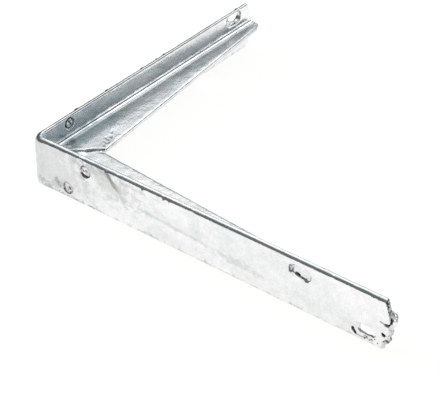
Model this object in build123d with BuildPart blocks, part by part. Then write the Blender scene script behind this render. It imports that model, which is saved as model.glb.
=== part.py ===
from build123d import *
import os

# Shelf bracket bent from one bar of T section, lying on its side as it comes to rest.
# +X runs along the long arm, +Y along the short arm, and +Z across the width of the bar.
# The origin is the middle of the space that the bracket takes up, on the surface it lies on.

# Arms, from the outer face of the other arm to the sheared corners of the end
LONG_ARM = 300.0
SHORT_ARM = 250.0

# T section: the flange is the strip that goes round the outside, the web stands up inside it
WIDTH = 40.0
FLANGE = 4.5
WEB = 4.0
ROOT_RADIUS = 2.5
EDGE_RADIUS = 0.8

# Depth of the T, from the outer face of the flange to the free edge of the web
CORNER_DEPTH = 36.0
TIP_DEPTH = 14.0
TIP_CHAMFER = 4.5

# Bend of the flange, and the mitre where the two notched webs come together
BEND_RADIUS = 5.5
MITRE_GAP = 2.6

# Tack weld that bridges the mitre: how far it lies from the mitre's open end, how far it bites
# into each web, and how far it stands up from them
WELD_INSET = 16.0
WELD_LENGTH = 8.0
WELD_BITE = 1.5
WELD_RISE = 1.8

# Sheared ends: the root of the web stands out beyond the two corners of the flange
NOSE = 5.0

# Fixing holes and slots, staggered in two rows on each arm. The row that holds the hole nearest
# the corner and the slot nearest the end is the outer row, and the other is the inner row.
HOLE = 9.5
SLOT_LENGTH = 18.0
HOLE_PITCH = 17.5
SLOT_PITCH = 50.0

# Outer row: the hole's place from the corner, the slot's from the end, and the row's from its
# edge of the flange
LONG_HOLE = 33.0
LONG_SLOT = 15.0
LONG_OUTER_ROW = 8.2
LONG_INNER_ROW = 10.4
SHORT_HOLE = 36.0
SHORT_SLOT = 18.0
SHORT_OUTER_ROW = 6.6
SHORT_INNER_ROW = 8.2

# How far a cut runs past the faces that it opens
CUT_CLEARANCE = 1.0

# Places that follow from the sizes above
middle = WIDTH / 2
long_end = LONG_ARM + NOSE
short_end = SHORT_ARM + NOSE
corner = Plane(origin=(-long_end / 2, -short_end / 2, 0))
long_face = Plane(origin=corner.origin, x_dir=(1, 0, 0), z_dir=(0, -1, 0))
short_face = Plane(origin=corner.origin, x_dir=(0, 1, 0), z_dir=(1, 0, 0))
diagonal = Vector(1, 1, 0).normalized()
nose_half = WEB / 2 + ROOT_RADIUS
weld_radius = MITRE_GAP / 2 + WELD_BITE

# Each arm: its face, its length, the places along it of its first hole and last slot, and the
# heights of the rows that they and their neighbours are in
arms = [
    (long_face, LONG_ARM, LONG_HOLE, LONG_SLOT, LONG_OUTER_ROW, WIDTH - LONG_INNER_ROW),
    (short_face, SHORT_ARM, SHORT_HOLE, SHORT_SLOT, WIDTH - SHORT_OUTER_ROW, SHORT_INNER_ROW),
]

with BuildPart() as bracket:
    # The flange runs down the short arm, round the bend and along the long arm
    with BuildSketch(corner):
        with BuildLine():
            FilletPolyline((0, short_end), (0, 0), (long_end, 0), radius=BEND_RADIUS + FLANGE)
            offset(amount=FLANGE, side=Side.LEFT)
        make_face()
    extrude(amount=WIDTH)
    level = bracket.edges().filter_by(Plane.XY)
    fillet(level.filter_by(lambda edge: edge.length > 2 * FLANGE), EDGE_RADIUS)

    # The web stands at mid-width and tapers from the corner to both ends
    with BuildSketch(corner.offset(middle - WEB / 2)):
        with BuildLine():
            back = FilletPolyline(
                (FLANGE / 2, short_end),
                (FLANGE / 2, FLANGE / 2),
                (long_end, FLANGE / 2),
                radius=BEND_RADIUS + FLANGE / 2,
            )
            Polyline(
                back @ 1,
                (long_end, TIP_DEPTH),
                (CORNER_DEPTH, CORNER_DEPTH),
                (TIP_DEPTH, short_end),
                back @ 0,
            )
        web_face = make_face()
        tips = web_face.vertices().sort_by_distance((TIP_DEPTH, short_end))[0:1]
        tips += web_face.vertices().sort_by_distance((long_end, TIP_DEPTH))[0:1]
        chamfer(tips, TIP_CHAMFER)
    extrude(amount=WEB)
    fillet(bracket.edges(Select.NEW), ROOT_RADIUS)
    free_edges = bracket.edges().filter_by(Plane.XY).filter_by(GeomType.LINE)
    free_edges = free_edges.filter_by(Axis.X, reverse=True).filter_by(Axis.Y, reverse=True)
    fillet(free_edges.filter_by(lambda edge: edge.length > CORNER_DEPTH), EDGE_RADIUS)

    # The notch in the web closed to this mitre when the flange was bent. The mitre is a band along
    # the diagonal, which starts at the inner face of the bend.
    with BuildSketch(corner):
        with Locations((FLANGE, FLANGE)):
            inside = Rectangle(CORNER_DEPTH, CORNER_DEPTH, align=(Align.MIN, Align.MIN))
        fillet(inside.vertices().sort_by_distance((0, 0))[0], BEND_RADIUS)
        Rectangle(4 * CORNER_DEPTH, MITRE_GAP, rotation=45, mode=Mode.INTERSECT)
    extrude(amount=WIDTH, mode=Mode.SUBTRACT)

    # The tack weld is a round-ended bead that lies along the mitre and sinks into both webs
    weld_height = middle + WEB / 2 + WELD_RISE - weld_radius
    free_corner = corner.origin + Vector(CORNER_DEPTH, CORNER_DEPTH, weld_height)
    weld_plane = Plane(origin=free_corner - WELD_INSET * diagonal, x_dir=diagonal, z_dir=(1, -1, 0))
    with BuildSketch(weld_plane):
        SlotOverall(WELD_LENGTH, 2 * weld_radius)
        Rectangle(WELD_LENGTH, weld_radius, align=(Align.CENTER, Align.MIN), mode=Mode.INTERSECT)
    revolve(axis=Axis(weld_plane.origin, diagonal))

    for face, length, hole, slot, outer_row, inner_row in arms:
        # The end is sheared to a blunt point
        end = length + NOSE
        beyond = end + CUT_CLEARANCE
        with BuildSketch(face):
            with BuildLine():
                Polyline(
                    (length, -CUT_CLEARANCE),
                    (length, 0),
                    (end, middle - nose_half),
                    (end, middle + nose_half),
                    (length, WIDTH),
                    (length, WIDTH + CUT_CLEARANCE),
                    (beyond, WIDTH + CUT_CLEARANCE),
                    (beyond, -CUT_CLEARANCE),
                    close=True,
                )
            make_face()
        extrude(amount=CORNER_DEPTH, both=True, mode=Mode.SUBTRACT)

        # Two round holes lie near the corner, and two slots near the end
        with BuildSketch(face):
            with Locations((hole, outer_row), (hole + HOLE_PITCH, inner_row)):
                Circle(HOLE / 2)
            with Locations((length - slot, outer_row), (length - slot - SLOT_PITCH, inner_row)):
                SlotOverall(SLOT_LENGTH, HOLE)
        extrude(amount=FLANGE + CUT_CLEARANCE, both=True, mode=Mode.SUBTRACT)

bracket.part.label = "bracket"
os.makedirs("parts", exist_ok=True)
export_step(bracket.part, "parts/bracket.step")
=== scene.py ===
# %% [markdown]
# # A galvanised shelf bracket
# The bracket is one bar of T section, bent to a right angle and dipped in molten zinc. The frame
# brings its exact solid. This lesson turns that solid into the thing on the bench: a bar whose
# edges, holes and ends carry a skin of zinc that ran, froze and was knocked about.

# %% Load the frame
from math import cos, exp, radians, sin, tau
from random import Random

import bmesh
import bpy
from mathutils import Matrix, Vector, noise
from mathutils.geometry import intersect_point_line


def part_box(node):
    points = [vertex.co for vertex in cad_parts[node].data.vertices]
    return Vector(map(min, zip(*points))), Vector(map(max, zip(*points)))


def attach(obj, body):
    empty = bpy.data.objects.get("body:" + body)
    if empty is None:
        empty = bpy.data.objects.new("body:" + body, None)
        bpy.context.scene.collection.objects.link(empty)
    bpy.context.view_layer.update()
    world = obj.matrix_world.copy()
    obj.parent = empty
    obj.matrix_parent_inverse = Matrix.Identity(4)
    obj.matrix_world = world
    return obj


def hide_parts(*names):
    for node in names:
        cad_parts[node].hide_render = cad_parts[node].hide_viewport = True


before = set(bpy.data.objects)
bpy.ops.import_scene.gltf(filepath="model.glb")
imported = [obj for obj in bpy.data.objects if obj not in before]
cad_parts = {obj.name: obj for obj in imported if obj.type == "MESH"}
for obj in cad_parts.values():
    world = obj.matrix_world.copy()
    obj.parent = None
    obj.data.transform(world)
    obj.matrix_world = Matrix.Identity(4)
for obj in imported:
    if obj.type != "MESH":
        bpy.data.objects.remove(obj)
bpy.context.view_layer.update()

MM = 0.001
low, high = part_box("bracket")
corner = Vector(low)
print("The bracket's box runs from", low, "to", high)

# %% [markdown]
# ## The bar
# The solid comes as loose triangles with crisp edges. It could be dressed as it is, but the solid
# has to stay as the frame brings it. So its triangles are copied and merged, and the zinc is laid
# on the copy. All places below are in mm from the sharp outer corner of the bar: X along the long
# arm, Y along the short arm, Z up.

# %% Copy the bar and merge it
MERGE = 0.001 * MM
bar = bmesh.new()
bar.from_mesh(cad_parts["bracket"].data)
bmesh.ops.remove_doubles(bar, verts=bar.verts, dist=MERGE)
print("The merged bar has", len(bar.faces), "faces")

# %% [markdown]
# ## Even squares
# The long flat faces of the bar have points only at their edges, and everything below moves
# points. Cutting the faces by hand would take many steps. A voxel remesh does it in one: it covers
# the bar with small even squares. It runs as a modifier on an object that is thrown away.

# %% Remesh the bar
VOXEL = 0.7 * MM


def remesh(source, name):
    """A bmesh made into one closed skin of even squares, as a new mesh."""
    rough = bpy.data.meshes.new(name)
    source.to_mesh(rough)
    source.free()
    carrier = bpy.data.objects.new(name, rough)
    bpy.context.scene.collection.objects.link(carrier)
    melt = carrier.modifiers.new("melt", "REMESH")
    melt.mode = "VOXEL"
    melt.voxel_size = VOXEL
    depsgraph = bpy.context.evaluated_depsgraph_get()
    made = bpy.data.meshes.new_from_object(carrier.evaluated_get(depsgraph))
    bpy.data.objects.remove(carrier)
    return made


plain = remesh(bar, "plain")
bar = bmesh.new()
bar.from_mesh(plain)
print("The even bar has", len(bar.verts), "points")

# %% [markdown]
# ## Rolled edges
# The mill leaves the long edges of the flange round: wide on the outer face, narrow on the inner
# one, and sharper below. A bevel could do this on one edge, but here the round grows on its way
# round the bend, and the face of the short arm swells with it. So every point near an edge is
# pulled back onto its round, whose size is blended from one arm to the other.

# %% Helpers for soft changes
def step(value, start, end):
    """A soft step: 0 before start, 1 after end."""
    share = min(max((value - start) / (end - start), 0), 1)
    return share * share * (3 - 2 * share)


def bell(distance, width):
    """A smooth hump: 1 at the middle, falling away over a width."""
    return exp(-((distance / width) ** 2))


def between(share, first, last):
    """A value part of the way from the first to the last."""
    return first + share * (last - first)


# %% Helpers for one point of the flange
# Width of the bar, thickness of its flange and outer radius of its bend
WIDTH, FLANGE, BEND = 40, 4.5, 10.0


def depth_in(here):
    """How deep a place lies below the outer face of the flange, and which way is inwards."""
    if here.x < BEND and here.y < BEND:
        spoke = Vector((BEND - here.x, BEND - here.y, 0))
        return BEND - spoke.length, spoke.normalized()
    return (here.y, Vector((0, 1, 0))) if here.x > here.y else (here.x, Vector((1, 0, 0)))


def pull(aside, below, radius):
    """Pull a point of a square edge back onto its round, given how far it is from both faces."""
    spoke = Vector((radius - aside, radius - below))
    if min(spoke) > 0 and spoke.length > radius:
        spoke *= radius / spoke.length
    return radius - spoke.x, radius - spoke.y


# %% Roll the edges
# The rounds of each arm are those on its outer and on its inner face
LONG_ROUNDS = 2.9, 1.4
SHORT_ROUNDS = 4.9, 0.5
UNDER_SHARE = 0.35
SHORT_BULGE, BEND_BULGE = 1.0, 0.9
BEND_FROM, BEND_TO, BEND_WIDE = -22, 4, 8
FLANGE_SLACK = 0.3

for vert in bar.verts:
    here = (vert.co - corner) / MM
    deep, inwards = depth_in(here)
    if deep > FLANGE + FLANGE_SLACK:
        continue
    way = here.y - here.x
    share = step(way, BEND_FROM, BEND_TO)
    bulge = SHORT_BULGE * share + BEND_BULGE * bell(way, BEND_WIDE)
    outer, inner = (between(share, *pair) for pair in zip(LONG_ROUNDS, SHORT_ROUNDS))
    outer *= 1 if here.z > WIDTH / 2 else UNDER_SHARE
    thick = FLANGE + bulge
    inset = max(deep, 0) * thick / FLANGE
    below = min(here.z, WIDTH - here.z)
    if inset < thick - inner:
        moved_in, moved_down = pull(inset, below, outer)
    else:
        moved_in, moved_down = pull(thick - inset, below, inner)
        moved_in = thick - moved_in
    here += inwards * (moved_in - bulge - deep)
    here.z = moved_down if here.z < WIDTH / 2 else WIDTH - moved_down
    vert.co = corner + here * MM
print("The edges are rolled")


# %% [markdown]
# ## Where the zinc gathered
# Zinc drains towards the ends and freezes there as lumps. They could be sculpted, but a sculpt
# can't be read or changed. Each lump is a squashed ball that overlaps the bar instead, and the
# next remesh melts the balls into it, just as the metal did.

# %% A helper for one lump
def lump(at, radius, stretch=(1, 1, 1)):
    """A ball of zinc at a place on the bar, with its radius in mm."""
    place = Matrix.Translation(corner + Vector(at) * MM)
    shape = Matrix.Diagonal((*stretch, 1))
    bmesh.ops.create_icosphere(bar, subdivisions=2, radius=radius * MM, matrix=place @ shape)


# %% Lumps at the two sheared ends, each as (place, radius, stretch)
long_end_lumps = (
    ((300.8, 10.8, 20.2), 3.1, (1.0, 1.0, 1.0)),
    ((303.2, 7.6, 20.6), 2.5, (0.8, 1.0, 1.1)),
    ((303.5, 4.6, 27.0), 1.9, (0.8, 1.0, 1.4)),
    ((303.0, 0.4, 17.0), 2.8, (1.0, 0.45, 1.2)),
    ((302.2, 2.6, 7.6), 2.4, (0.9, 1.0, 1.3)),
    ((303.4, 5.6, 13.0), 1.7, (0.9, 0.9, 1.9)),
    ((302.6, 5.4, 7.0), 1.5, (0.9, 0.9, 1.6)),
    ((299.8, 1.2, 2.4), 1.7, (1.2, 0.9, 0.9)),
)
short_end_lumps = (
    ((9.8, 253.2, 20.2), 2.9, (1.1, 1.0, 0.8)),
    ((6.0, 253.8, 21.2), 2.0, (1.2, 0.8, 0.9)),
    ((3.0, 254.2, 27.0), 1.4, (0.9, 0.8, 1.5)),
    ((2.6, 253.8, 12.0), 1.7, (0.9, 0.8, 1.8)),
    ((3.2, 251.4, 3.4), 1.6, (0.9, 1.0, 1.1)),
)
for at, radius, stretch in long_end_lumps + short_end_lumps:
    lump(at, radius, stretch)
print(len(long_end_lumps), "lumps at the long end,", len(short_end_lumps), "at the short end")

# %% [markdown]
# ## The mitre
# The web was notched, and the notch closed when the flange was bent. Zinc has since run into the
# gap. A thin block along the diagonal fills it here, and the seam that is left is carved further
# down, together with all the other creases.

# %% Fill the mitre
SEAM_MIDDLE = 21.0, 21.0, 20.0
SEAM_SIZE = 41.5, 3.4, 4.0
filler = Matrix.Translation(corner + Vector(SEAM_MIDDLE) * MM) @ Matrix.Rotation(radians(45), 4, "Z")
filler @= Matrix.Diagonal((*(size * MM for size in SEAM_SIZE), 1))
bmesh.ops.create_cube(bar, size=1.0, matrix=filler)
print("The mitre is filled")

# %% [markdown]
# ## Choked holes
# The dip leaves a lip of zinc in each fixing hole and slot. A small hole is closed by a flat skin,
# and a slot only narrows. The holes themselves are in the solid already, so nothing is cut here:
# each piece of the lip is a flattened ball that is set in the hole.

# %% A helper for the zinc in a hole
FLAT = 0.42
SLOT_HALF = 4.25
holes = []


def choke(arm, along, up, half, *lips):
    """Flat balls in a hole: each is (along, up, depth, radius), the first two from its centre."""
    holes.append((arm, along, up, half))
    for off_along, off_up, depth, size in lips:
        u, w = along + off_along, up + off_up
        at = (u, depth, w) if arm == "long" else (depth, u, w)
        lump(at, size, (1.0, FLAT, 1.0) if arm == "long" else (FLAT, 1.0, 1.0))


# %% Zinc in the round holes, each at (arm, way along it, height)
LONG_INNER_HOLE = "long", 50.5, 29.6
LONG_OUTER_HOLE = "long", 33.0, 8.2
SHORT_OUTER_HOLE = "short", 36.0, 33.4
SHORT_INNER_HOLE = "short", 53.5, 8.2
choke(
    *LONG_INNER_HOLE, 0,
    (0, 0, 2.5, 5.6), (-0.9, -2.6, 1.2, 1.6), (1.2, 2.8, 1.2, 1.6),
)
choke(
    *LONG_OUTER_HOLE, 0,
    (0, 0, 2.5, 5.6), (0.6, 3.0, 1.1, 1.8), (2.2, 0.6, 1.2, 1.5), (-0.3, -3.6, 1.1, 1.7),
)
choke(
    *SHORT_OUTER_HOLE, 0,
    (0, 0, 2.3, 5.6), (-2.4, -0.1, 3.4, 1.7), (1.0, 2.2, 3.3, 2.2), (1.4, -2.8, 3.4, 1.3),
)
choke(
    *SHORT_INNER_HOLE, 0,
    (0, -3.4, 2.2, 2.4), (-3.6, 0, 2.2, 2.2),
)
print("Zinc clings in", len(holes), "round holes")

# %% Zinc in the slots
LONG_INNER_SLOT = "long", 235.0, 29.6
LONG_OUTER_SLOT = "long", 285.0, 8.2
SHORT_OUTER_SLOT = "short", 232.0, 33.4
SHORT_INNER_SLOT = "short", 182.0, 8.2
choke(
    *LONG_INNER_SLOT, SLOT_HALF,
    (-3.2, 0.4, 3.0, 4.8), (0.5, 0, 2.8, 5.0), (4.2, 0, 2.8, 5.0), (6.5, 0.5, 2.6, 3.6),
    (-6.2, -3.4, 1.2, 2.3), (-3.4, -3.7, 1.1, 2.3), (-0.4, -3.9, 1.1, 2.3), (2.8, -4.1, 1.1, 2.2),
)
choke(
    *LONG_OUTER_SLOT, SLOT_HALF,
    (-6.2, 1.0, 1.8, 3.6), (-5.2, -2.4, 1.5, 3.0), (-2.4, -3.8, 1.5, 3.0), (0.6, -4.2, 1.5, 3.0),
    (3.4, -4.4, 1.5, 2.8), (6.2, -3.6, 1.5, 2.6), (-4.4, 3.6, 1.6, 2.0),
)
choke(
    *SHORT_OUTER_SLOT, SLOT_HALF,
    (-6.8, -2.6, 2.6, 3.4), (-4.2, -3.8, 2.6, 3.0), (-1.4, -4.0, 2.6, 2.6), (1.6, -4.4, 2.6, 2.2),
    (-7.6, 2.0, 2.6, 2.0),
)
choke(
    *SHORT_INNER_SLOT, SLOT_HALF,
    (-2.0, -4.2, 2.4, 1.4), (8.4, 0, 2.4, 1.3),
)
print("Zinc clings in", len(holes), "holes and slots")

# %% [markdown]
# ## Drops along the edges
# The bar hung from a wire and dripped, and small drops froze along its long edges. Most of them
# have no place that matters, so they are scattered by a seeded dice: every run gives the same bar.
# The few that catch the eye are placed one by one.

# %% Scatter small drops
LONG, SHORT = 300, 250
DROPS = 34
DROP_SIZES = 0.6, 0.95
NEAREST, FURTHEST = 12, 285
EDGES = (0.9, 0.9), (0.8, 39.1), (3.9, 39.3), (4.0, 0.8)
DRAWN_OUT, DRAWN_IN = 1.6, 0.8
dice = Random(7)
for _ in range(DROPS):
    size = dice.uniform(*DROP_SIZES)
    reach = dice.uniform(NEAREST, FURTHEST)
    side, level = dice.choice(EDGES)
    lump((reach, side, level), size, (DRAWN_OUT, DRAWN_IN, DRAWN_IN))
    lump((side, min(reach, SHORT - NEAREST), level), size, (DRAWN_IN, DRAWN_OUT, DRAWN_IN))
print(DROPS, "drops on each arm")

# %% Place the larger drops, each as (place, radius)
long_arm_drops = (
    ((103.9, 0.3, 2.0), 1.3),
    ((106.2, 0.5, 1.4), 1.1),
    ((110.2, 0.3, 2.1), 1.2),
    ((122.7, 0.2, 2.3), 1.1),
    ((103.2, 0.0, 36.8), 0.9),
    ((126.5, 0.0, 36.4), 0.8),
    ((121.7, 0.0, 36.8), 0.9),
    ((70.4, 0.1, 37.6), 1.2),
    ((294.9, 0.1, 36.8), 0.7),
    ((290.3, 0.1, 37.0), 0.7),
)
inner_corner_drops = (
    ((6.6, 23.0, 22.0), 0.9),
    ((9.2, 24.4, 22.0), 0.8),
    ((11.6, 26.0, 22.0), 0.9),
    ((8.4, 27.4, 22.0), 0.7),
)
for at, size in long_arm_drops + inner_corner_drops:
    lump(at, size)
print(len(long_arm_drops + inner_corner_drops), "larger drops")

# %% [markdown]
# ## Melt it together
# A second voxel remesh turns the bar and all its lumps into one closed skin of even squares.
# Joining them with a boolean would leave sharp seams. Smoothing then rounds every edge a little,
# as a thick dip does.

# %% Remesh into one skin
PASSES, SOFTEN = 4, 0.5
melted = remesh(bar, "zinc_bracket")
skin = bmesh.new()
skin.from_mesh(melted)
every_way = {"use_axis_x": True, "use_axis_y": True, "use_axis_z": True}
for _ in range(PASSES):
    bmesh.ops.smooth_vert(skin, verts=skin.verts, factor=SOFTEN, **every_way)
print("The skin has", len(skin.verts), "points")

# %% [markdown]
# ## Tight roots
# Smoothing also widens the curve where the web meets the flange. On the real bar that curve is
# tight, and shows as one thin bright line. Fewer smoothing passes would leave every edge hard, so
# only the points of this curve are drawn back in towards their corner.

# %% Draw in the roots
ROOT_NOW, ROOT_DEEP, ROOT_ROUND = 4.2, 1.5, 1.4
ROOT_SLACK = 0.4
HALF_WEB = 2.0


def tuck(aside, above):
    """Draw a point of the wide root curve in onto a tighter one, given its place off both faces."""
    centre = Vector((ROOT_NOW, ROOT_NOW))
    spoke = Vector((aside, above)) - centre
    if max(spoke) >= 0 or not -ROOT_SLACK < min(aside, above) < ROOT_DEEP:
        return aside, above
    found = centre + spoke * (ROOT_NOW / max(-spoke.x, -spoke.y))
    if max(found) < ROOT_ROUND:
        tight = Vector((ROOT_ROUND, ROOT_ROUND))
        found = tight + (found - tight).normalized() * ROOT_ROUND
    return found.x, found.y


for vert in skin.verts:
    here = (vert.co - corner) / MM
    deep, inwards = depth_in(here)
    side = 1 if here.z > WIDTH / 2 else -1
    above = side * (here.z - WIDTH / 2) - HALF_WEB
    if deep - FLANGE > ROOT_NOW or above > ROOT_NOW:
        continue
    aside, above = tuck(deep - FLANGE, above)
    here += inwards * (aside + FLANGE - deep)
    here.z = WIDTH / 2 + side * (above + HALF_WEB)
    vert.co = corner + here * MM
print("The roots are tight")

# %% [markdown]
# ## Creases
# Where two runs of zinc froze against each other, a crease stays open: along the mitre, round the
# choked holes and slots, and across the lumps at the ends. Loop cuts can't follow them over a skin
# of even squares. Each crease is a short line near the surface instead, and the points near that
# line are pushed in further down. A crease is (start, end, width, depth) in mm, and one that
# starts where it ends is a pit.

# %% Creases of the mitre and the short arm's web
WEB_TOP = 22
mitre = [
    ((16.7, 22.1, WEB_TOP), (25.5, 29.2, WEB_TOP), 0.7, 3.2),
    ((25.5, 29.2, WEB_TOP), (29.0, 33.2, WEB_TOP), 1.0, 3.4),
    ((29.0, 33.2, WEB_TOP), (37.0, 40.4, WEB_TOP), 0.7, 3.2),
    ((20.7, 21.9, 22.4), (20.7, 21.9, 22.4), 0.8, 1.6),
    ((36.2, 34.4, WEB_TOP), (36.2, 34.4, WEB_TOP), 0.8, 1.2),
]
short_web = [
    ((25.0, 50.9, WEB_TOP), (28.9, 49.4, WEB_TOP), 0.5, 0.45),
    ((27.6, 46.4, WEB_TOP), (31.4, 45.9, WEB_TOP), 0.5, 0.4),
    ((29.9, 48.1, WEB_TOP), (31.4, 47.4, WEB_TOP), 0.5, 0.4),
    ((26.4, 54.9, WEB_TOP), (28.2, 53.6, WEB_TOP), 0.5, 0.4),
    ((29.8, 43.2, WEB_TOP), (32.2, 41.4, WEB_TOP), 0.5, 0.4),
    ((23.2, 59.9, WEB_TOP), (24.4, 58.4, WEB_TOP), 0.5, 0.3),
    ((52.1, 34.3, WEB_TOP), (52.5, 34.3, WEB_TOP), 0.5, 0.6),
]
print(len(mitre), "creases in the mitre,", len(short_web), "on the short arm's web")

# %% Creases in the slots and holes
long_slots = [
    ((228.0, 0.4, 32.0), (228.4, 0.4, 29.4), 1.1, 1.4),
    ((229.6, 0.5, 32.2), (229.8, 0.5, 31.6), 0.9, 1.0),
    ((231.6, 0.5, 28.6), (234.6, 0.5, 27.6), 0.8, 0.9),
    ((236.0, 0.6, 27.2), (239.6, 0.6, 26.6), 0.5, 0.6),
    ((239.8, 0.6, 26.6), (242.2, 0.4, 27.8), 0.7, 0.8),
    ((240.4, 0.4, 32.8), (241.4, 0.4, 32.2), 0.6, 0.6),
    ((227.8, 0.0, 27.0), (230.2, 0.0, 26.0), 0.5, 0.5),
    ((277.0, 0.0, 6.4), (277.4, 0.0, 5.8), 0.9, 1.0),
    ((278.4, 0.4, 4.8), (279.6, 0.4, 3.6), 0.7, 0.9),
    ((280.2, 0.2, 3.2), (285.0, 0.2, 2.8), 0.5, 0.4),
    ((281.0, 0.6, 8.0), (283.2, 0.6, 6.2), 0.5, 0.5),
    ((286.0, 0.6, 4.6), (289.0, 0.6, 4.2), 0.5, 0.5),
    ((291.0, 0.0, 4.2), (292.4, 0.0, 3.8), 0.6, 0.6),
]
short_holes = [
    ((4.5, 32.0, 36.0), (4.5, 34.6, 36.0), 0.6, 0.8),
    ((4.5, 34.6, 36.0), (4.5, 37.2, 31.8), 0.6, 0.8),
    ((4.5, 223.4, 37.0), (4.5, 223.2, 35.6), 0.8, 0.9),
    ((4.5, 226.4, 30.2), (4.5, 231.4, 29.8), 0.7, 0.8),
]
print(len(long_slots), "creases in the long arm's slots,", len(short_holes), "on the short arm")

# %% Creases at the long arm's end and specks on its outer face
long_end = [
    ((297.0, 0.0, 21.6), (300.4, 0.0, 20.8), 0.6, 0.55),
    ((300.4, 0.0, 20.8), (303.8, 0.0, 21.6), 0.7, 0.8),
    ((303.8, 0.0, 21.6), (305.4, 1.4, 24.6), 0.7, 0.9),
    ((299.2, 0.0, 12.6), (300.8, 0.0, 11.9), 0.9, 1.2),
    ((300.8, 0.2, 11.9), (303.4, 0.8, 12.4), 0.6, 0.8),
    ((303.4, 0.8, 12.4), (305.0, 1.4, 17.4), 0.6, 0.8),
    ((301.5, 0.0, 17.5), (303.5, 0.6, 15.0), 0.6, 0.6),
    ((302.9, 0.6, 8.0), (303.3, 1.6, 7.0), 0.8, 0.9),
    ((300.0, 0.0, 6.5), (302.4, 0.4, 9.0), 0.6, 0.6),
    ((304.0, 4.6, 10.4), (304.0, 4.9, 7.4), 0.8, 1.0),
    ((304.4, 1.2, 30.2), (304.4, 1.4, 29.4), 0.9, 1.0),
    ((304.8, 1.6, 26.6), (304.8, 2.2, 22.4), 0.9, 1.0),
    ((302.4, 5.0, 34.0), (304.4, 5.4, 29.4), 0.7, 0.7),
]
outer_face = [
    ((25.6, 0, 6.8), (25.6, 0, 6.8), 0.6, 0.7),
    ((23.9, 0, 10.0), (24.6, 0, 9.4), 0.6, 0.6),
    ((22.2, 0, 12.3), (22.2, 0, 12.3), 0.6, 0.6),
    ((103.9, 0, 1.2), (104.8, 0, 1.0), 0.7, 1.0),
    ((110.2, 0, 2.3), (110.2, 0, 2.3), 0.7, 0.9),
    ((122.7, 0, 2.1), (122.7, 0, 2.1), 0.6, 0.8),
]
creases = mitre + short_web + long_slots + short_holes + long_end + outer_face
print(len(creases), "creases so far")

# %% Rings round the choked holes
RING_STEPS, RING_RADIUS, RING_DEEP = 10, 4.3, 0.6
RING_WANDER, RING_DEPTHS = (0.88, 1.05), (0.6, 1.1)
PITS, PIT_REACH, FINE = 7, (0.8, 2.8), 0.6
dice = Random(11)


def ring(arm, along, up, share):
    """An uneven crease round a choked hole, by a share of its full depth, with pits inside."""
    def spot(angle, reach):
        u, w = along + reach * cos(angle), up + reach * sin(angle)
        return (u, RING_DEEP, w) if arm == "long" else (FLANGE - RING_DEEP, u, w)

    rim = []
    for turn in range(RING_STEPS):
        rim.append(spot(tau * turn / RING_STEPS, RING_RADIUS * dice.uniform(*RING_WANDER)))
    for start, end in zip(rim, rim[1:] + rim[:1]):
        creases.append((start, end, FINE, share * dice.uniform(*RING_DEPTHS)))
    for _ in range(PITS):
        pit = spot(dice.uniform(0, tau), dice.uniform(*PIT_REACH))
        creases.append((pit, pit, FINE, 1.0))


ring(*LONG_INNER_HOLE, 0.65)
ring(*LONG_OUTER_HOLE, 0.55)
ring(*SHORT_OUTER_HOLE, 1.0)
print(len(creases), "creases with the rings")

# %% Specks near the corner, and crust at the long arm's end
SPECKS, SPECK_WIDE, SPECK_DEPTHS = 16, 0.5, (0.4, 0.8)
SPECKS_ALONG, SPECKS_UP = (16, 60), (0.4, 2.2)
CRUST, CRUST_DEPTHS = 34, (-0.5, -0.35, 0.5, 0.8)
# The crust lies in two boxes, each as its reach along the arm, into it and up
END_FOOT = (277, 305), (0, 1.2), (1.0, 5.5)
END_FACE = (300, 305), (0, 5), (5.5, 24)
for _ in range(SPECKS):
    speck = (dice.uniform(*SPECKS_ALONG), 0, dice.uniform(*SPECKS_UP))
    creases.append((speck, speck, SPECK_WIDE, dice.uniform(*SPECK_DEPTHS)))
for _ in range(CRUST):
    for along, deep, up in (END_FOOT, END_FACE):
        speck = (dice.uniform(*along), dice.uniform(*deep), dice.uniform(*up))
        creases.append((speck, speck, FINE, dice.choice(CRUST_DEPTHS)))
print(len(creases), "creases in all")

# %% [markdown]
# ## The skin's relief
# Hot-dip zinc is never flat: it swells in slow waves, and carries a fine orange peel. A thin ridge
# runs along the root of each web, where the zinc drained last, and the bead of the tack weld is half
# drowned. A bump in the material would show the waves but not change the outline, so the points
# themselves are moved, along their normals. The creases go in at the same time, and how open each
# one is stays on its points as `crease_shade`, which later sets how much painted shade darkens them.

# %% Find the creases near a place
CREASE_REACH = Vector((2.5, 2.5, 2.5))
boxes = []
for start, end, width, depth in creases:
    start, end = Vector(start), Vector(end)
    least = Vector(min(pair) for pair in zip(start, end)) - CREASE_REACH
    most = Vector(max(pair) for pair in zip(start, end)) + CREASE_REACH
    boxes.append((least, most, start, end, width, depth))


def open_creases(here):
    """The creases near a place, each as (how central the place is, from 0 to 1, and the depth)."""
    found = []
    for least, most, start, end, width, depth in boxes:
        if least.x < here.x < most.x and least.y < here.y < most.y and least.z < here.z < most.z:
            nearest, share = intersect_point_line(here, start, end) if start != end else (start, 0)
            nearest = start if share <= 0 else end if share >= 1 else nearest
            found.append((bell((here - nearest).length, width), depth))
    return found


print("Each of the", len(boxes), "creases has a box round it")

# %% Push the points in and out
WAVES = (0.045, 0.16), (0.16, 0.08), (0.5, 0.045)
RIDGE_AT, RIDGE_WIDE, RIDGE_HIGH = 7.2, 0.7, 0.45
WEB_BAND, LEVEL = (15, 25), 0.8
BEAD = Vector((24.7, 24.7, WEB_TOP))
BEAD_REACH, BEAD_SINK = 7.0, 0.55


def relief(here, normal):
    """How far the zinc stands out, in mm, at a place in mm."""
    stands = sum(swell * noise.noise(here * rate) for rate, swell in WAVES)
    if abs(normal.z) > LEVEL and WEB_BAND[0] < here.z < WEB_BAND[1]:
        stands += RIDGE_HIGH * bell(min(here.x, here.y) - RIDGE_AT, RIDGE_WIDE)
    return stands


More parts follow.
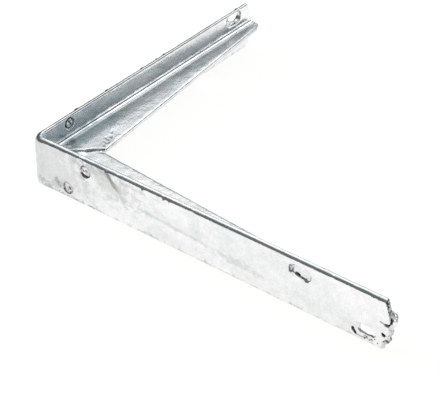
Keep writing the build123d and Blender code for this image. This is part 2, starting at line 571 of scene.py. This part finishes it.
skin.normal_update()
crease_shade = skin.verts.layers.float.new("crease_shade")
for vert in skin.verts:
    here = (vert.co - corner) / MM
    if here.z > BEAD.z and (here - BEAD).length < BEAD_REACH:
        here.z -= BEAD_SINK * (here.z - BEAD.z)
    near = open_creases(here)
    stands = relief(here, vert.normal) - max((share * depth for share, depth in near), default=0.0)
    # How open the crease is here, kept to paint shade into it.
    vert[crease_shade] = max((share * min(depth, 1) for share, depth in near), default=0.0)
    vert.co = corner + (here + vert.normal * stands) * MM
skin.to_mesh(melted)
skin.free()
print("The relief is in")

# %% [markdown]
# ## Fewer triangles
# Even squares spend as many points on a flat face as on a hole's edge. A Decimate modifier folds
# away those that carry no shape, and keeps the rest. It is applied here and not left live, because
# the marks in the next step are written to the points that stay. The skin then takes the solid's
# place, on the body that the solid rides on.

# %% Thin out the flat parts
MOST_TRIANGLES = 190_000
piece = bpy.data.objects.new("zinc_bracket", melted)
bpy.context.scene.collection.objects.link(piece)
thin = piece.modifiers.new("thin", "DECIMATE")
thin.ratio = min(1.0, MOST_TRIANGLES / (2 * len(melted.polygons)))
depsgraph = bpy.context.evaluated_depsgraph_get()
thinned = bpy.data.meshes.new_from_object(piece.evaluated_get(depsgraph))
piece.modifiers.clear()
piece.data = thinned
for polygon in thinned.polygons:
    polygon.use_smooth = True
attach(piece, "root")
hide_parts("bracket")
print("The finished skin has", len(thinned.polygons), "faces")

# %% [markdown]
# ## Where the metal looks different
# One material covers the whole skin, and marks at its points say where it changes. Several materials
# would need hard borders. `wall_shade_and_cut` marks two things. The walls of the holes and slots,
# and the zinc across them, are painted dark as painted shade. The sheared ends are rough and painted
# dark, partly as painted shade. `web` marks the flat of the web, which is duller, above all near the
# root on the short arm. `drawn` says how clearly the web shows the fine lines of the mill. `run`
# gives the way along each arm, so that streaks can follow the bar round its bend.

# %% Helpers that tell the painted shade of a hole's wall, and how dark a sheared end is painted
HOLE_RADIUS, HOLE_LIP = 4.75, 0.5
LIP_DEEP = 0.6
HOLE_WALL_SHADE, HOLE_SKIN_SHADE, SKIN_FACING = 0.32, 0.12, 0.7
LONG_CUT, SHORT_CUT = 1.0, 0.7
END_REACH, END_FACING = 1.5, 0.55
LUMPS_TOP = 23


def hole_shade(here, normal):
    """How much painted shade a place gets for lying on the wall of a hole or slot, or on the skin
    across it.
    """
    for arm, along, up, half in holes:
        on_long = arm == "long"
        u, depth, facing = (here.x, here.y, normal.y) if on_long else (here.y, here.x, normal.x)
        off = max(abs(u - along) - half, 0)
        sunk = LIP_DEEP < depth < FLANGE - LIP_DEEP
        if sunk and (off**2 + (here.z - up) ** 2) ** 0.5 < HOLE_RADIUS + HOLE_LIP:
            return HOLE_WALL_SHADE if abs(facing) < SKIN_FACING else HOLE_SKIN_SHADE
    return 0.0


def at_end(here, normal):
    """How dark a place is painted for lying on a sheared end, which is rough and partly painted
    shade.
    """
    on_flange = min(here.x, here.y) < FLANGE + LIP_DEEP
    if on_flange and here.x > LONG - END_REACH and here.z > LUMPS_TOP and normal.x > END_FACING:
        return LONG_CUT
    if on_flange and here.y > SHORT - END_REACH and normal.y > END_FACING:
        return SHORT_CUT
    return 0.0


# %% Mark the skin
WEB_FROM, WEB_TO = 6.0, 9.0
WORN_FROM, WORN_TO = 11, 19
LONG_WORN, SHORT_ROOT_WORN, SHORT_EDGE_WORN = 0.04, 0.80, 0.12
LONG_DRAWN, SHORT_DRAWN = 1.0, 0.4
for name in ("wall_shade_and_cut", "web", "drawn"):
    thinned.attributes.new(name, "FLOAT", "POINT")
thinned.attributes.new("run", "FLOAT_VECTOR", "POINT")
wall_shade_and_cut, web, drawn, run = (thinned.attributes[name] for name in ("wall_shade_and_cut", "web", "drawn", "run"))
for index, vert in enumerate(thinned.vertices):
    here = (vert.co - corner) / MM
    on_long = here.x > here.y
    inner = min(here.x, here.y)
    fade = step(inner, WORN_FROM, WORN_TO)
    worn = LONG_WORN if on_long else between(fade, SHORT_ROOT_WORN, SHORT_EDGE_WORN)
    on_web = step(inner, WEB_FROM, WEB_TO)
    # Painted shade goes on the walls of the holes and slots and on the zinc across them. The sheared
    # ends are painted darker, partly as painted shade.
    wall_shade_and_cut.data[index].value = max(hole_shade(here, vert.normal), at_end(here, vert.normal))
    web.data[index].value = worn * on_web
    drawn.data[index].value = on_web * (LONG_DRAWN if on_long else SHORT_DRAWN)
    run.data[index].vector = here if on_long else (-here.y, here.x, here.z)
print("The skin is marked")

# %% [markdown]
# ## The zinc
# Bright metal with clouds of duller crystals, fine grain, and streaks that run with the bar. A
# painted picture could carry them, but noise is sharp at any distance. All of it is worked out
# from places on the piece, so it stays put when the bracket moves. The helpers add nodes to the
# node tree that is called `tree` at the time.

# %% Helpers that do sums with nodes
zinc = bpy.data.materials.new("zinc")
zinc.use_nodes = True
tree = zinc.node_tree


def wire(value, socket):
    """A value for a socket: another socket's output, or a constant."""
    if isinstance(value, bpy.types.NodeSocket):
        tree.links.new(value, socket)
    else:
        socket.default_value = value


def sums(operation, a, b=0.0):
    """One sum of two values."""
    made = tree.nodes.new("ShaderNodeMath")
    made.operation = operation
    wire(a, made.inputs[0])
    wire(b, made.inputs[1])
    return made.outputs[0]


def rise(value, start, end, first=0.0, last=1.0):
    """A soft step of a value: first before start, last after end."""
    made = tree.nodes.new("ShaderNodeMapRange")
    made.interpolation_type = "SMOOTHSTEP"
    wire(value, made.inputs["Value"])
    made.inputs["From Min"].default_value = start
    made.inputs["From Max"].default_value = end
    made.inputs["To Min"].default_value = first
    made.inputs["To Max"].default_value = last
    return made.outputs["Result"]


# %% Helpers for colours
def blend(share, first, second, kind="MIX"):
    """Two colours mixed, the second by its share."""
    made = tree.nodes.new("ShaderNodeMix")
    made.data_type = "RGBA"
    made.blend_type = kind
    wire(share, made.inputs[0])
    wire(first, made.inputs[6])
    wire(second, made.inputs[7])
    return made.outputs[2]


def grey(value, tint=(1.0, 1.0, 1.0)):
    """A colour of one lightness."""
    return (value * tint[0], value * tint[1], value * tint[2], 1)


def darkened(colour, value):
    """A colour with only a part of its light left."""
    return blend(1.0, colour, grey(value), "MULTIPLY")


# %% Helpers for patterns
def speckle(where, scale, detail=3.0, rough=0.55, twist=0.0):
    """Noise at a number of lumps per unit of the coordinates."""
    made = tree.nodes.new("ShaderNodeTexNoise")
    wire(where, made.inputs["Vector"])
    made.inputs["Scale"].default_value = scale
    made.inputs["Detail"].default_value = detail
    made.inputs["Roughness"].default_value = rough
    made.inputs["Distortion"].default_value = twist
    return made.outputs["Fac"]


def moved(where, at=(0, 0, 0), turn=(0, 0, 0), size=(1, 1, 1)):
    """Coordinates seen from a place that is turned and sized."""
    made = tree.nodes.new("ShaderNodeMapping")
    made.vector_type = "TEXTURE"
    wire(where, made.inputs["Vector"])
    made.inputs["Location"].default_value = at
    made.inputs["Rotation"].default_value = turn
    made.inputs["Scale"].default_value = size
    return made.outputs["Vector"]


def stored(name, output="Fac"):
    """A number or a vector that was stored at the points of the skin."""
    made = tree.nodes.new("ShaderNodeAttribute")
    made.attribute_name = name
    return made.outputs[output]


# %% Patterns of the zinc
CLOUDS, CRYSTALS, GRAIN = 34, 190, 900
STREAK = 30, 4, 4
SCORE, SCORE_LEAN = (14, 0.6, 3), 10
shader = tree.nodes["Principled BSDF"]
shader.inputs["Metallic"].default_value = 1.0
place = tree.nodes.new("ShaderNodeTexCoord").outputs["Object"]
along_bar = stored("run", "Vector")
dull = stored("web")
wall_shade_and_bare = stored("wall_shade_and_cut")
crease_shade_mask = stored("crease_shade")
clouds = speckle(place, CLOUDS, 5, 0.6, 0.5)
crystals = speckle(place, CRYSTALS, 4, 0.65, 0.3)
grain = speckle(place, GRAIN, 3, 0.6)
streaks = speckle(moved(along_bar, size=STREAK), 1.0, 4, 0.6)
scored = speckle(moved(along_bar, turn=(0, 0, radians(SCORE_LEAN)), size=SCORE), 1.0, 2, 0.6)
print("Crystals are about", round(1 / CRYSTALS / MM), "mm across")

# %% Colour of the zinc, with painted shade in its creases, holes and ends
# The first colour is painted shade, for the open creases and pits.
CREASE_SHADE_COLOUR = grey(0.035)
duller = grey(0.92, (0.98, 0.988, 1))
brighter = grey(0.99, (0.985, 0.992, 1))
bright = blend(rise(clouds, 0.36, 0.62), duller, brighter)
bright = blend(rise(crystals, 0.38, 0.60), darkened(bright, 0.94), bright)
worn = blend(rise(streaks, 0.35, 0.65), grey(0.42), grey(0.62))
worn = blend(rise(crystals, 0.35, 0.65), darkened(worn, 0.82), worn)
colour = blend(dull, bright, worn)
score = sums("MULTIPLY", rise(scored, 0.42, 0.60, 1.0, 0.0), stored("drawn"))
colour = blend(score, colour, darkened(colour, 0.84))
colour = blend(rise(grain, 0.35, 0.60, 1.0, 0.0), colour, grey(0.92), "MULTIPLY")
scab_and_wall_shade = blend(rise(crystals, 0.44, 0.58), grey(0.05), grey(0.60))
# Painted shade in the holes and slots, and the sheared ends painted darker, partly as painted shade.
colour = blend(wall_shade_and_bare, colour, scab_and_wall_shade)
# Painted shade darkens the open creases and pits, by how open each one is.
colour = blend(rise(crease_shade_mask, 0.12, 0.62), colour, CREASE_SHADE_COLOUR)
print("The zinc has its colour")


# %% [markdown]
# ## Stains, rubs and painted shade
# Handling and wet storage left marks on the coat: a brown run below the top edge, a long faint rub
# along the outer face and grey smears near the corner. Other patches are painted light: painted
# shade at the foot, towards the bend and along the short arm's top edge, and a painted blue-grey
# reflection on the short arm's inner face and web. The long arm's end is painted darker. Masks could
# be painted, but a few soft spots are enough. Each is a stretched ball at its place on the bar,
# whose edge wanders with the crystals, and the colours are laid over each other in this order.

# %% Helpers for one soft patch
PATCH_EDGE = 0.35, 1.1


def ragged(value, wobble):
    """A value that wanders with the crystals."""
    return sums("ADD", value, sums("MULTIPLY", sums("SUBTRACT", crystals, 0.5), wobble))


def patch(at, half, lean, wobble):
    """A soft patch: 1 in its middle, 0 outside its half sizes in mm."""
    spot = corner + Vector(at) * MM
    seen = moved(place, spot, (0, radians(lean), 0), tuple(size * MM for size in half))
    away = tree.nodes.new("ShaderNodeVectorMath")
    away.operation = "LENGTH"
    tree.links.new(seen, away.inputs[0])
    return rise(ragged(away.outputs["Value"], wobble), *PATCH_EDGE, 1.0, 0.0)


# %% Stains and painted shade, each as (middle, half sizes, lean, wobble, tint, share)
BROWN = (0.17, 0.135, 0.075, 1)
SOOT = (0.12, 0.13, 0.13, 1)
# Blue-grey for a painted reflection on the short arm.
REFLECTION_BLUE = (0.38, 0.46, 0.50, 1)
CHALK = (0.99, 0.96, 0.925, 1)
SMOKE = (0.50, 0.51, 0.51, 1)
stain_run = (
    ((75.5, 0, 32.0), (9.8, 3, 2.5), 52, 1.7, BROWN, 0.95),
    ((72.6, 0, 35.4), (5.0, 3, 2.3), 52, 2.0, SOOT, 0.75),
    ((45.2, 0, 34.2), (4.6, 3, 1.2), 48, 2.2, SMOKE, 0.6),
    ((84.0, 0, 22.5), (11.0, 3, 4.0), 52, 2.6, SMOKE, 0.40),
)
outer_face_rubs_and_bend_shade = (
    ((128.0, 0, 18.2), (50.0, 3, 2.2), 4, 1.4, SMOKE, 0.38),
    ((142.0, 0, 21.0), (46.0, 3, 6.0), 4, 1.0, SMOKE, 0.14),
    # Painted shade: the outer face darker towards the bend.
    ((18.0, 0, 20.0), (48.0, 3, 34.0), 0, 1.5, SMOKE, 0.46),
    ((25.0, 0, 8.0), (20.0, 3, 5.0), -6, 3.4, SMOKE, 0.38),
    ((72.0, 0, 28.0), (34.0, 3, 13.0), 12, 2.5, SMOKE, 0.46),
    ((97.0, 0, 35.0), (16.0, 3, 2.0), 3, 3.0, SMOKE, 0.40),
    ((58.0, 0, 34.5), (18.0, 3, 4.5), 8, 2.6, SMOKE, 0.50),
    ((183.0, 0, 13.5), (22.0, 3, 3.6), 4, 2.6, SMOKE, 0.36),
)
corner_soot = (
    ((24.0, 0, 9.5), (6.0, 3, 2.6), 30, 3.2, SOOT, 0.30),
    ((11.0, 0, 5.0), (7.0, 3, 3.0), 0, 3.4, SOOT, 0.22),
    ((62.0, 0, 37.0), (12.0, 3, 1.6), 0, 2.8, SOOT, 0.25),
    ((47.0, 0, 26.0), (5.0, 3, 2.0), 60, 2.8, SOOT, 0.15),
)
# Painted shade along the short arm's top edge, a painted blue-grey reflection on its inner face and
# on its web by the root, and a dark stain near the mitre.
short_arm_shade = (
    ((2.5, 140.0, 40.0), (5.0, 120.0, 2.5), 0, 1.5, SMOKE, 0.55),
    ((2.5, 55.0, 39.5), (6.0, 50.0, 3.5), 0, 1.5, SMOKE, 0.55),
    ((4.5, 40.0, 30.0), (3.0, 60.0, 16.0), 0, 1.5, REFLECTION_BLUE, 0.18),
    ((12.0, 45.0, 22.0), (9.0, 50.0, 3.0), 0, 1.5, REFLECTION_BLUE, 0.60),
    ((9.8, 32.4, 22.0), (3.0, 3.2, 3.0), 0, 2.2, SOOT, 0.6),
)
top_and_web_smears = (
    ((272.0, 2.5, 40.0), (42.0, 4.0, 2.0), 0, 1.0, SMOKE, 0.30),
    ((29.8, 48.2, 22), (5.0, 7.0, 3), 0, 4.0, SMOKE, 0.4),
    ((120.0, 24.0, 22), (95.0, 15.0, 3), 0, 1.0, CHALK, 0.6),
    ((205.0, 20.0, 22), (62.0, 12.0, 4), 0, 1.5, SMOKE, 0.7),
)
# Painted shade along the foot of the outer face. The long arm's end is painted darker.
foot_shade_and_darker_end = (
    ((50.0, 0, 0.0), (40.0, 3, 3.0), 0, 3.4, SMOKE, 0.45),
    ((303.0, 1.5, 5.0), (5.0, 4.0, 7.0), 0, 2.0, BROWN, 0.35),
    ((304.8, 2.5, 12.0), (3.4, 6.0, 11.0), 0, 2.2, SOOT, 0.35),
    ((303.4, 10.4, 20.0), (5.0, 5.0, 7.0), 0, 2.2, SOOT, 0.45),
)
stains_and_shade = stain_run + outer_face_rubs_and_bend_shade + corner_soot
stains_and_shade += short_arm_shade + top_and_web_smears + foot_shade_and_darker_end
print(len(stains_and_shade), "stains and rubs")

# %% Lay on the stains and the painted shade at the foot
# Painted shade along the foot, where the bar meets the sheet.
FOOT_SHADE_FROM, FOOT_SHADE_TO, FOOT_SHADE_WANDER = 0.2 * MM, 2.6 * MM, 12 * MM
FOOT_SHADE_SHARE, FOOT_SHADE = 0.35, grey(0.30)
for at, half, lean, wobble, tint, share in stains_and_shade:
    colour = blend(sums("MULTIPLY", patch(at, half, lean, wobble), share), colour, tint)
heights = tree.nodes.new("ShaderNodeSeparateXYZ")
tree.links.new(place, heights.inputs[0])
foot_shade_mask = rise(ragged(heights.outputs["Z"], FOOT_SHADE_WANDER), FOOT_SHADE_FROM, FOOT_SHADE_TO, 1.0, 0.0)
colour = blend(sums("MULTIPLY", foot_shade_mask, FOOT_SHADE_SHARE), colour, FOOT_SHADE)
tree.links.new(colour, shader.inputs["Base Color"])
print("The zinc has its stains")

# %% [markdown]
# ## Gloss and grain
# The coat mirrors its room through a fine frost. Where it is worn, cut or cracked it is rougher, so
# the marks that darken the colour also raise the roughness. In the holes and creases that darkening
# is painted shade, and at the sheared ends partly so. Crystals, grain and streaks are far too fine
# to be shapes of the skin, and a bump in the material is the right tool for them.

# %% Gloss and grain of the zinc
BUMP_STRENGTH, BUMP_HIGH = 0.5, 0.35 * MM
gloss = rise(clouds, 0.3, 0.7, 0.32, 0.22)
for mark, share in ((sums("SUBTRACT", dull, 0.4), 0.20), (wall_shade_and_bare, 0.25), (crease_shade_mask, 0.35)):
    gloss = sums("ADD", gloss, sums("MULTIPLY", mark, share))
tree.links.new(gloss, shader.inputs["Roughness"])
height = sums("ADD", sums("MULTIPLY", crystals, 0.35), sums("MULTIPLY", grain, 0.5))
height = sums("ADD", height, sums("MULTIPLY", streaks, 0.5))
bump = tree.nodes.new("ShaderNodeBump")
bump.inputs["Strength"].default_value = BUMP_STRENGTH
bump.inputs["Distance"].default_value = BUMP_HIGH
tree.links.new(height, bump.inputs["Height"])
tree.links.new(bump.outputs["Normal"], shader.inputs["Normal"])
thinned.materials.clear()
thinned.materials.append(zinc)
print("The zinc material has", len(tree.nodes), "nodes")

# %% [markdown]
# ## Floor
# The bracket lies on a plain white sheet. Lit by lamps alone the sheet would come out grey, or the
# metal too bright. So the camera and the metal see it glow white, and a share of it still catches
# shadow, which keeps the bracket on the ground.

# %% The sheet
FLOOR_SIZE = 12.0
GLOW = (1.037, 1.04, 1.022, 1)
GLOW_SHARE = 0.92
floor_mesh = bpy.data.meshes.new("floor")
sheet = bmesh.new()
bmesh.ops.create_grid(sheet, x_segments=1, y_segments=1, size=FLOOR_SIZE / 2)
sheet.to_mesh(floor_mesh)
sheet.free()
floor = bpy.data.objects.new("floor", floor_mesh)
bpy.context.scene.collection.objects.link(floor)
print("The sheet lies under the bracket")

# %% Paper that glows for the camera and the metal
paper = bpy.data.materials.new("paper")
paper.use_nodes = True
tree = paper.node_tree
tree.nodes.clear()
matt = tree.nodes.new("ShaderNodeBsdfDiffuse")
matt.inputs["Color"].default_value = grey(0.9)
glow = tree.nodes.new("ShaderNodeEmission")
glow.inputs["Color"].default_value = GLOW
path = tree.nodes.new("ShaderNodeLightPath")
seen = sums("MAXIMUM", path.outputs["Is Camera Ray"], path.outputs["Is Glossy Ray"])
seen = sums("MAXIMUM", seen, path.outputs["Is Transmission Ray"])
mix = tree.nodes.new("ShaderNodeMixShader")
tree.links.new(sums("MULTIPLY", seen, GLOW_SHARE), mix.inputs["Fac"])
tree.links.new(matt.outputs[0], mix.inputs[1])
tree.links.new(glow.outputs[0], mix.inputs[2])
out = tree.nodes.new("ShaderNodeOutputMaterial")
tree.links.new(mix.outputs[0], out.inputs["Surface"])
floor_mesh.materials.append(paper)
print("The paper glows by a share of", GLOW_SHARE)

# %% [markdown]
# ## Studio
# Polished metal shows its room. One broad sheet of light hangs behind and above. It ends towards
# both sides, and fades into a dim room at the horizon: that gives the dark line along the rounded
# outer edges of the bar. The wall far behind is a little lighter, and so is the room in front. A
# narrow tube of light inside the sheet draws the bright lines along the roots. Area lamps could
# hang there too, but drawn as part of the sky they are smooth, free of noise and quick.

# %% Brightness of the room
PANEL = 1.20
PANEL_ABOVE, PANEL_BEHIND = (0.40, 0.62), (-0.45, 0.10)
PANEL_LEFT, PANEL_RIGHT, RIGHT_SHARE = (-0.80, -0.55), (0.10, 0.50), 0.68
WALL, WALL_BEHIND = 0.55, (0.72, 0.86)
TUBE, TUBE_TOWARDS, TUBE_EDGE = 0.68, (0.15, 0.65, 0.74), (0.965, 0.995)
DIM_BEHIND, DIM_BEFORE, DIM_FADE = 0.085, 0.15, (-0.6, 0.1)
world = bpy.data.worlds.new("studio")
bpy.context.scene.world = world
world.use_nodes = True
tree = world.node_tree
tree.nodes.clear()
direction = tree.nodes.new("ShaderNodeTexCoord").outputs["Generated"]
split = tree.nodes.new("ShaderNodeSeparateXYZ")
tree.links.new(direction, split.inputs[0])
to_right, to_back, upward = split.outputs
panel = rise(upward, *PANEL_ABOVE, 0.0, PANEL)
panel = sums("MULTIPLY", panel, rise(to_back, *PANEL_BEHIND))
panel = sums("MULTIPLY", panel, rise(to_right, *PANEL_LEFT))
panel = sums("MULTIPLY", panel, rise(to_right, *PANEL_RIGHT, 1.0, RIGHT_SHARE))
facing = tree.nodes.new("ShaderNodeVectorMath")
facing.operation = "DOT_PRODUCT"
facing.inputs[1].default_value = Vector(TUBE_TOWARDS).normalized()
tree.links.new(direction, facing.inputs[0])
tube = rise(facing.outputs["Value"], *TUBE_EDGE, 0.0, TUBE)
wall = rise(to_back, *WALL_BEHIND, 0.0, WALL)
dim = rise(to_back, *DIM_FADE, DIM_BEFORE, DIM_BEHIND)
room = sums("ADD", sums("ADD", sums("MAXIMUM", panel, wall), tube), dim)
print("The room is lit")

# %% Colour of the room: cool where the light fades, white where it is full or gone
COOL = (0.74, 0.925, 1.0, 1)
COOL_FROM, COOL_UNTIL = (0.15, 0.50), (0.70, 1.12)
cool = blend(rise(room, *COOL_FROM), grey(1.0), COOL)
cool = blend(rise(room, *COOL_UNTIL), cool, grey(1.0))
back = tree.nodes.new("ShaderNodeBackground")
tree.links.new(cool, back.inputs["Color"])
tree.links.new(room, back.inputs["Strength"])
out = tree.nodes.new("ShaderNodeOutputWorld")
tree.links.new(back.outputs[0], out.inputs["Surface"])
print("The studio has", len(tree.nodes), "nodes")

# %% [markdown]
# ## Lamp
# The sky lights the bracket from all round, and its shadow alone would be too faint. One square
# lamp on the left gives the soft shadow on the sheet. The metal doesn't see it: a mirror image of
# the lamp would show as a hard white patch.

# %% The lamp on the left
LAMP_AT = -1.5, -0.1, 0.85
LAMP_SIZE, LAMP_POWER = 0.8, 40
lamp = bpy.data.lights.new("left_softbox", "AREA")
lamp.size = LAMP_SIZE
lamp.energy = LAMP_POWER
softbox = bpy.data.objects.new("left_softbox", lamp)
softbox.location = LAMP_AT
softbox.rotation_euler = (-Vector(LAMP_AT)).to_track_quat("-Z", "Y").to_euler()
softbox.visible_glossy = False
bpy.context.scene.collection.objects.link(softbox)
print("The lamp shines from", LAMP_AT)

# %% [markdown]
# ## Camera
# The camera looks down on the bracket from the front right, from about a metre away. Its place,
# aim and lens were fitted to the outline of the bracket, so they are plain numbers in metres.

# %% Camera
PICTURE_WIDE, FOCAL_PIXELS = 440, 1583
SENSOR_WIDE = 36.0
CAMERA_AT = Vector((0.5285, -0.7886, 0.6602))
AIM_AT = Vector((-0.0103, -0.0912, 0.0200))
ROLL = radians(0.33)
camera = bpy.data.cameras.new("camera")
camera.sensor_width = SENSOR_WIDE
camera.lens = FOCAL_PIXELS / PICTURE_WIDE * camera.sensor_width
view = bpy.data.objects.new("camera", camera)
view.location = CAMERA_AT
aim = (AIM_AT - CAMERA_AT).to_track_quat("-Z", "Y").to_matrix()
view.rotation_euler = (aim @ Matrix.Rotation(ROLL, 3, "Z")).to_euler()
bpy.context.scene.collection.objects.link(view)
bpy.context.scene.camera = view
bpy.context.scene.view_settings.view_transform = "Standard"
print("The lens is", round(camera.lens), "mm")
